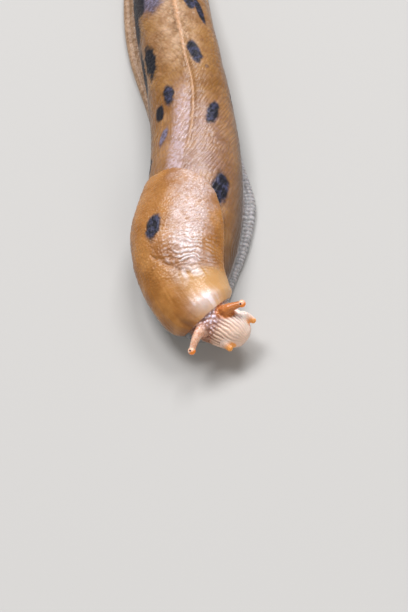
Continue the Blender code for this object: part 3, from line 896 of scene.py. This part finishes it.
class Nodes:
    """Builds a material's nodes."""

    def __init__(self, name):
        self.material = bpy.data.materials.new(name)
        self.material.use_nodes = True
        self.tree = self.material.node_tree
        self.shader = self.tree.nodes["Principled BSDF"]

    def add(self, kind, **values):
        node = self.tree.nodes.new(kind)
        for name, value in values.items():
            setattr(node, name, value)
        return node

    def feed(self, socket, value):
        """Sets a socket to a number or colour, or links another one or the mask of a name to it."""
        if isinstance(value, str):
            value = self.mask(value)
        if isinstance(value, (int, float, tuple)):
            socket.default_value = value
        else:
            self.tree.links.new(value, socket)

    def mask(self, name, part=None):
        """A mask of the skin, or part of it by a number or a socket."""
        found = self.add("ShaderNodeAttribute", attribute_name=name).outputs["Fac"]
        return found if part is None else self.math("MULTIPLY", found, part)

    def texture(self, kind, size, **values):
        """A texture's node, with features of a size in millimetres."""
        node = self.add(kind)
        for name, value in {"Scale": 1 / (size * MM), **values}.items():
            node.inputs[name].default_value = value
        self.feed(node.inputs["Vector"], self.add("ShaderNodeTexCoord").outputs["Object"])
        return node

    def noise(self, size, detail=3):
        return self.texture("ShaderNodeTexNoise", size, Detail=detail, Roughness=0.55).outputs["Fac"]

    def grains(self, size):
        return self.texture("ShaderNodeTexVoronoi", size).outputs["Distance"]

    def ranged(self, value, *limits):
        """A value eased from a low and a high limit to 0 and 1, or to two more limits."""
        node = self.add("ShaderNodeMapRange", interpolation_type="SMOOTHSTEP")
        names = "Value", "From Min", "From Max", "To Min", "To Max"
        for name, given in zip(names, (value, *limits)):
            self.feed(node.inputs[name], given)
        return node.outputs["Result"]

    def math(self, what, one, two):
        node = self.add("ShaderNodeMath", operation=what)
        self.feed(node.inputs[0], one)
        self.feed(node.inputs[1], two)
        return node.outputs["Value"]

    def mix(self, share, under, over):
        node = self.add("ShaderNodeMix", data_type="RGBA")
        self.feed(node.inputs["Factor"], share)
        colours = [socket for socket in node.inputs if socket.type == "RGBA"]
        self.feed(colours[0], under)
        self.feed(colours[1], over)
        return next(socket for socket in node.outputs if socket.type == "RGBA")

    def mottled(self, value, low, high, first, second):
        """A first colour that turns into a second as a value goes from low to high."""
        return self.mix(self.ranged(value, low, high), linear(*first), linear(*second))

    def layered(self, base, *layers):
        """A colour with layers over it, each a share of a further colour."""
        for share, colour in layers:
            base = self.mix(share, base, linear(*colour))
        return base

    def bump(self, height, depth, under=None):
        """Bump whose full height is a depth in millimetres."""
        node = self.add("ShaderNodeBump")
        node.inputs["Strength"].default_value = 1
        node.inputs["Distance"].default_value = depth * MM
        self.feed(node.inputs["Height"], height)
        if under is not None:
            self.feed(node.inputs["Normal"], under)
        return node.outputs["Normal"]

    def set(self, **values):
        for name, value in values.items():
            self.feed(self.shader.inputs[name.replace("_", " ")], value)


def back_colour(n, patchy, fine):
    return n.layered(
        n.mottled(patchy, 0.35, 0.65, (135, 90, 38), (159, 113, 56)),
        (n.ranged(fine, 0.45, 0.7, 0, 0.4), (124, 80, 46)),
        # paler on top near the tail: pale tan skin and a painted sheen
        (n.mask("rear", n.ranged(n.noise(3), 0.4, 0.6, 0.35, 0.85)), (212, 178, 148)),
        # painted sheen on the crests of the ridges
        (n.mask("crest_sheen", 0.14), (200, 160, 132)),
        (n.ranged(n.noise(1.7, 2), 0.60, 0.72, 0, 0.4), (112, 72, 42)),
        # painted shade low on the sides
        (n.mask("low", 0.95), (82, 54, 28)),
        # the pale film and painted sheen beside the keel line
        (n.mask("film_and_sheen", n.ranged(fine, 0.38, 0.62, 0.4, 0.9)), (194, 170, 174)),
        ("keel", (206, 160, 122)),
    )


def mantle_colour(n, patchy):
    return n.layered(
        n.mottled(patchy, 0.35, 0.65, (156, 102, 46), (184, 128, 68)),
        ("gold", (200, 152, 96)),
        # painted shade in the hollow behind the crease
        (n.mask("crease_shade", 0.65), (146, 94, 52)),
        (n.mask("sheen", n.ranged("fleck", 0.28, 0.55, 0.42, 0.9)), (218, 198, 196)),
        (n.mask("gleam", 0.9), (252, 244, 246)),
        # painted shade in the fold and at the hood's corner
        (n.mask("shaded_fold", 0.6), (122, 72, 36)),
        # the painted highlight behind the hood's lip
        ("lip", (250, 240, 246)),
    )


def head_colour(n, fine):
    head = n.layered(
        n.mottled(fine, 0.35, 0.65, (156, 106, 76), (184, 136, 106)),
        ("crown", (190, 152, 148)),
        ("muzzle", (234, 200, 178)),
    )
    soft = n.mottled(fine, 0.35, 0.65, (224, 164, 130), (244, 202, 176))
    return n.layered(
        n.mix("tentacle", head, soft),
        # the painted highlight on the upper muzzle, and the lower tentacles' pale colour
        ("pale", (252, 238, 230)),
        ("glint", (236, 226, 244)),
        ("left_upper", (204, 124, 62)),
        ("tip", (255, 170, 80)),
    )


def foot_colour(n, fine):
    grey = n.mottled(fine, 0.3, 0.7, (148, 146, 146), (188, 184, 186))
    tan = n.mottled(fine, 0.3, 0.7, (140, 108, 78), (182, 150, 122))
    sole = n.mottled(n.noise(2.5), 0.35, 0.65, (176, 158, 132), (206, 190, 164))
    return n.mix("sole", n.mix("tan", grey, tan), sole)


def skin_material():
    n = Nodes("slug_skin")
    patchy = n.noise(6)
    fine = n.noise(1, 2)
    foot = foot_colour(n, fine)
    # painted shade at the bottom of grooves, wrinkles and hollows
    groove_shade = n.layered(
        linear(92, 58, 32),
        ("mantle", (128, 82, 44)),
        ("foot", (62, 58, 60)),
        ("head", (124, 64, 36)),
    )
    # bluish grey for those blotches: their dark colour with a painted reflection over it
    blue = n.mottled(fine, 0.35, 0.65, (66, 66, 88), (116, 114, 142))
    # a painted bluish reflection of the sky over the dark blotches
    ink_sheen = n.mask("ink_sheen", n.ranged(n.noise(1.5, 2), 0.4, 0.72, 0, 0.5))
    ink = n.mix(ink_sheen, linear(18, 17, 27), linear(84, 86, 122))
    colour = back_colour(n, patchy, fine)
    for share, over in (
        ("mantle", mantle_colour(n, patchy)),
        (n.mask("row", 0.75), foot),
        ("head", head_colour(n, fine)),
        ("foot", foot),
        (n.mask("groove", 0.5), groove_shade),
        ("blotch_sheen", blue),
        ("dark", ink),
    ):
        colour = n.mix(share, colour, over)
    rough = n.math("ADD", n.ranged(n.noise(0.6), 0.3, 0.7, 0.28, 0.46), n.mask("dark", 0.16))
    small = n.bump(n.noise(0.35, 4), 0.03)
    n.set(Base_Color=colour, Roughness=rough, Normal=n.bump(n.grains(0.55), 0.03, small))
    n.set(Coat_Weight="wet", Coat_Roughness=0.15, Coat_IOR=1.33, IOR=1.36)
    n.set(Subsurface_Weight=0.12, Subsurface_Scale=0.0012, Subsurface_Radius=(1, 0.45, 0.22))
    return n.material


def eye_material():
    n = Nodes("slug_eye")
    colour = n.layered(
        n.mottled(n.noise(0.5), 0.3, 0.7, (236, 176, 140), (248, 206, 180)),
        ("under", (250, 138, 30)),
        ("spot", (28, 30, 44)),
    )
    rough = n.ranged(n.noise(0.3), 0.3, 0.7, 0.18, 0.3)
    n.set(Base_Color=colour, Roughness=rough, Normal=n.bump(n.noise(0.3), 0.02))
    n.set(Coat_Weight=0.6, Coat_Roughness=0.08, Coat_IOR=1.38)
    n.set(Subsurface_Weight=0.2, Subsurface_Scale=0.0008, Subsurface_Radius=(1, 0.45, 0.2))
    return n.material


def finished(name, points, faces, masks, look, nodes):
    """Makes one smooth object in metres, with its masks as point attributes, in place of nodes."""
    data = mesh_of(name, points * MM, faces)
    data.shade_smooth()
    for mask, values in masks.items():
        attribute = data.attributes.new(mask, "FLOAT", "POINT")
        attribute.data.foreach_set("value", np.asarray(values, np.float32))
    data.materials.append(look)
    made = placed(name, data)
    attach(made, "root")
    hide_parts(*nodes)


def colour_masks(where, relief, normals):
    """The masks that the skin's material reads."""
    distance, top, up = where.distance, where.top_arc, where.points[:, 2]
    points, back, mantle = where.points, where.mantle_distance, where.mantle
    beside = where.arc - keel_line(distance)
    later = ramp(distance, 52, 26)
    keel = fall(np.abs(beside), 0.55 - 0.55 * later, 0.5) * (1 - 0.35 * later)
    keel *= ramp(distance / 15) * fall(distance, 100, 9)
    # a weaker pale film and painted sheen, broadly along the top of the back
    mild = 0.5 * bell(top, -2.5, 8.5) * ramp(distance, 85, 20)
    film_and_sheen = np.maximum(relief.film_and_sheen, mild) * where.body
    # painted shade: the sides of the back darken towards the ground
    low = fall(up, 6.5, 6) * (1 - where.foot)
    gold = ramp(back + 1.6 * fractal(points / 3.5, 59, 2), 142, 6)
    gold *= fall(top, -2.5, 6) * (0.4 + 0.6 * ramp(top, -14, 6))
    half = 6.6 + 1.6 * bell(back, 117, 9)
    half += 0.5 * fractal(points / 1.2, 55) + 1.3 * fractal(points / 3.2, 57, 2)
    sheen = ramp((half - np.abs(top + 3.4)) / 6.5) * ramp(back, 113, 3) * mantle
    sheen *= fall(back, 143.6, 3) * (1 - 0.8 * relief.crease_shade) * (0.68 + 0.32 * ramp(back, 120, 12))
    # lip: a painted highlight on the hood just behind its lip, broken into streaks
    lip = bell(top, -0.6, 2.5) * bell(back, 154.7, 1.9) * mantle
    dark = blotches(where, BLOTCHES) * where.bare + blotches(where, MANTLE_BLOTCHES) * mantle
    crown = bell(where.turn, 1.45, 0.75) * bell(where.share, 0.58, 0.16)
    # pale: a painted highlight on the upper side of the muzzle, and the lower tentacles' own pale colour
    pale = bell(where.turn, 2.3, 0.75) * bell(where.share, 0.78, 0.17) * where.head
    shiny = np.maximum.reduce([film_and_sheen, sheen, 0.35 * gold * mantle, where.head])
    masks = dict(
        head=where.head * (1 - mantle),
        tip=where.tip * ramp(normals @ ORANGE_SIDE, -0.45, 0.5),
        keel=keel * where.body,
        film_and_sheen=film_and_sheen, low=low, gold=gold, sheen=sheen, crown=crown, dark=dark,
        lip=lip * (0.5 + 0.5 * ramp(0.5 + 1.2 * relief.streak)),
        tan=rearward(distance),
        row=fall(up, FRINGE_ROW + 0.6, 0.8) * where.bare,
        pale=np.maximum(pale, 0.8 * where.lower),
        # painted glints on the head's grains and on the tentacles' warts
        glint=np.maximum(relief.glint * crown, 0.8 * relief.wart * ramp(normals @ GLINT_SIDE, 0.2)),
        # where the dark blotches carry that painted bluish reflection
        ink_sheen=(1 - low) * fall(top, 6, 3),
        wet=0.25 + 0.4 * shiny - 0.22 * dark,
        sole=fall(up, 0, 0.25) * ramp(-normals[:, 2]),
        # paler on top near the tail: partly a pale tan of the skin and partly a painted sheen
        rear=bell(top, 0.5, 5.5) * fall(distance, 66, 22),
        crest_sheen=relief.crest_sheen * where.body,
        blotch_sheen=blotches(where, SHEENED_BLOTCHES, 0.65) * where.bare,
    )
    for name in ("mantle", "foot", "muzzle", "tentacle", "left_upper"):
        masks[name] = getattr(where, name)
    for name in ("crease_shade", "shaded_fold", "gleam", "fleck", "groove"):
        masks[name] = getattr(relief, name)
    return masks


def near_roots(points):
    """How near each point is to the root of a tentacle, where the skin is smoothed more."""
    near = np.zeros(len(points))
    for route, *_, share, reach in TENTACLES:
        curve, length = by_length(route)
        root = curve(share * length)[0]
        near = np.maximum(near, bell(np.linalg.norm(points - root, axis=1) / reach))
    return near


def skin():
    """One skin over all the flesh."""
    shells = [back_shell(), foot_shell(), mantle_shell(), head_shell(), *tentacle_shells()]
    points, faces = fused(shells)
    edges = edges_of(faces)
    for weight in 4 * (0.5, -0.52):  # in and out again, so that the skin keeps its size
        points = smoothed(points, edges, 1, weight)
    points = smoothed(points, edges, 8, 0.5 * near_roots(points))
    normals = normals_of(points, faces)
    where = Places(points)
    relief = Relief(where)
    points = points + normals * relief.height[:, None]
    points[:, 2] = np.maximum(points[:, 2], 0)
    flat = (normals[:, 2] < -0.8) & (points[:, 2] < 0.5)
    points[flat, 2] = 0
    masks = colour_masks(where, relief, normals)
    finished("slug_skin", points, faces.tolist(), masks, skin_material(), FLESH)


def eye(side, centre, spot, look):
    """An eye bulb, with its dark spot on the side that spot points to."""
    polar = np.linspace(math.pi - 0.05, 0.05, 40)
    around = np.linspace(0, 2 * math.pi, 64, endpoint=False)
    p, a = np.meshgrid(polar, around, indexing="ij")
    way = np.stack([np.sin(p) * np.cos(a), np.sin(p) * np.sin(a), np.cos(p)], axis=2)
    way, faces = shell(way)
    way = unit(way)
    points = np.array(centre) + way * (EYE_RADIUS - 0.02)
    from_spot = np.arccos(np.clip(way @ unit(spot), -1, 1))
    masks = {"spot": fall(from_spot, 0.2, 0.1), "under": ramp(way @ ORANGE_SIDE, -0.1, 0.4)}
    finished("eye_bulb_" + side, points, faces, masks, look, ["eye_" + side])


FLOOR_HALF = 3  # metres
# Each light's name, direction from the slug, edge length in metres, watts and colour.
LIGHTS = [
    ("sky_left", (0.40, 0.50, 0.77), 1.2, 54, (0.98, 0.97, 0.99)),
    ("sky_right", (-0.12, 0.45, 0.88), 1.2, 66, (0.98, 0.97, 0.99)),
    ("fill", (0.2, -0.85, 0.55), 1.3, 26, (1, 0.98, 0.95)),
]
LIGHT_FAR = 3  # metres
LIT_PLACE = np.array([0.005, 0.03, 0.01])  # the place that they look at, in metres


def stage():
    """A plain pale floor."""
    corners = FLOOR_HALF * np.array([(-1, -1, 0), (1, -1, 0), (1, 1, 0), (-1, 1, 0)], float)
    mesh = mesh_of("floor", corners, [(0, 1, 2, 3)])
    n = Nodes("floor")
    n.set(Base_Color=(0.50, 0.495, 0.48, 1), Roughness=0.8)
    mesh.materials.append(n.material)
    placed("floor", mesh)


def aim(thing, place, ahead, right):
    """Puts a camera or light at a place in metres, looking ahead with its own right hand side."""
    back = -unit(ahead)
    right = unit(right - np.dot(right, back) * back)
    up = np.cross(back, right)
    matrix = np.eye(4)
    matrix[:3, :3] = columns(right, up, back)
    matrix[:3, 3] = place
    thing.matrix_world = Matrix(matrix)


def studio():
    """Plain soft light, from squares and from the world."""
    for name, way, size, watts, colour in LIGHTS:
        lamp = bpy.data.lights.new(name, "AREA")
        lamp.shape = "SQUARE"
        lamp.size = size
        lamp.energy = watts
        lamp.color = colour
        way = unit(way)
        aim(placed(name, lamp), LIT_PLACE + LIGHT_FAR * way, -way, (1, 0, 0))
    world = bpy.data.worlds.new("studio")
    world.use_nodes = True
    shade = world.node_tree.nodes["Background"]
    shade.inputs["Color"].default_value = (0.93, 0.92, 0.90, 1)
    shade.inputs["Strength"].default_value = 0.25
    bpy.context.scene.world = world


CAMERA_LENS = 100
CAMERA_SENSOR = 36
CAMERA_TILT = math.radians(55)  # below the horizon
CAMERA_ROLL = math.radians(16)
CAMERA_FAR = 425
CAMERA_AIM = (0, -19.5, 8)


def camera():
    ahead = np.array([0, math.cos(CAMERA_TILT), -math.sin(CAMERA_TILT)])
    up = np.array([0, math.sin(CAMERA_TILT), math.cos(CAMERA_TILT)])
    right = math.cos(CAMERA_ROLL) * np.array([1, 0, 0]) - math.sin(CAMERA_ROLL) * up
    view = bpy.data.cameras.new("camera")
    view.lens = CAMERA_LENS
    view.sensor_width = CAMERA_SENSOR
    view.clip_start = 0.01
    made = placed("camera", view)
    aim(made, (np.array(CAMERA_AIM) - CAMERA_FAR * ahead) * MM, ahead, right)
    bpy.context.scene.camera = made


bpy.context.scene.view_settings.view_transform = "Standard"
camera()
skin()
EYE_LOOK = eye_material()
eye("left", UPPER_LEFT[-1], (-0.42, -0.5, 0.76), EYE_LOOK)
eye("right", UPPER_RIGHT[-1], (-0.4, -0.3, 0.9), EYE_LOOK)
stage()
studio()
bpy.context.view_layer.update()
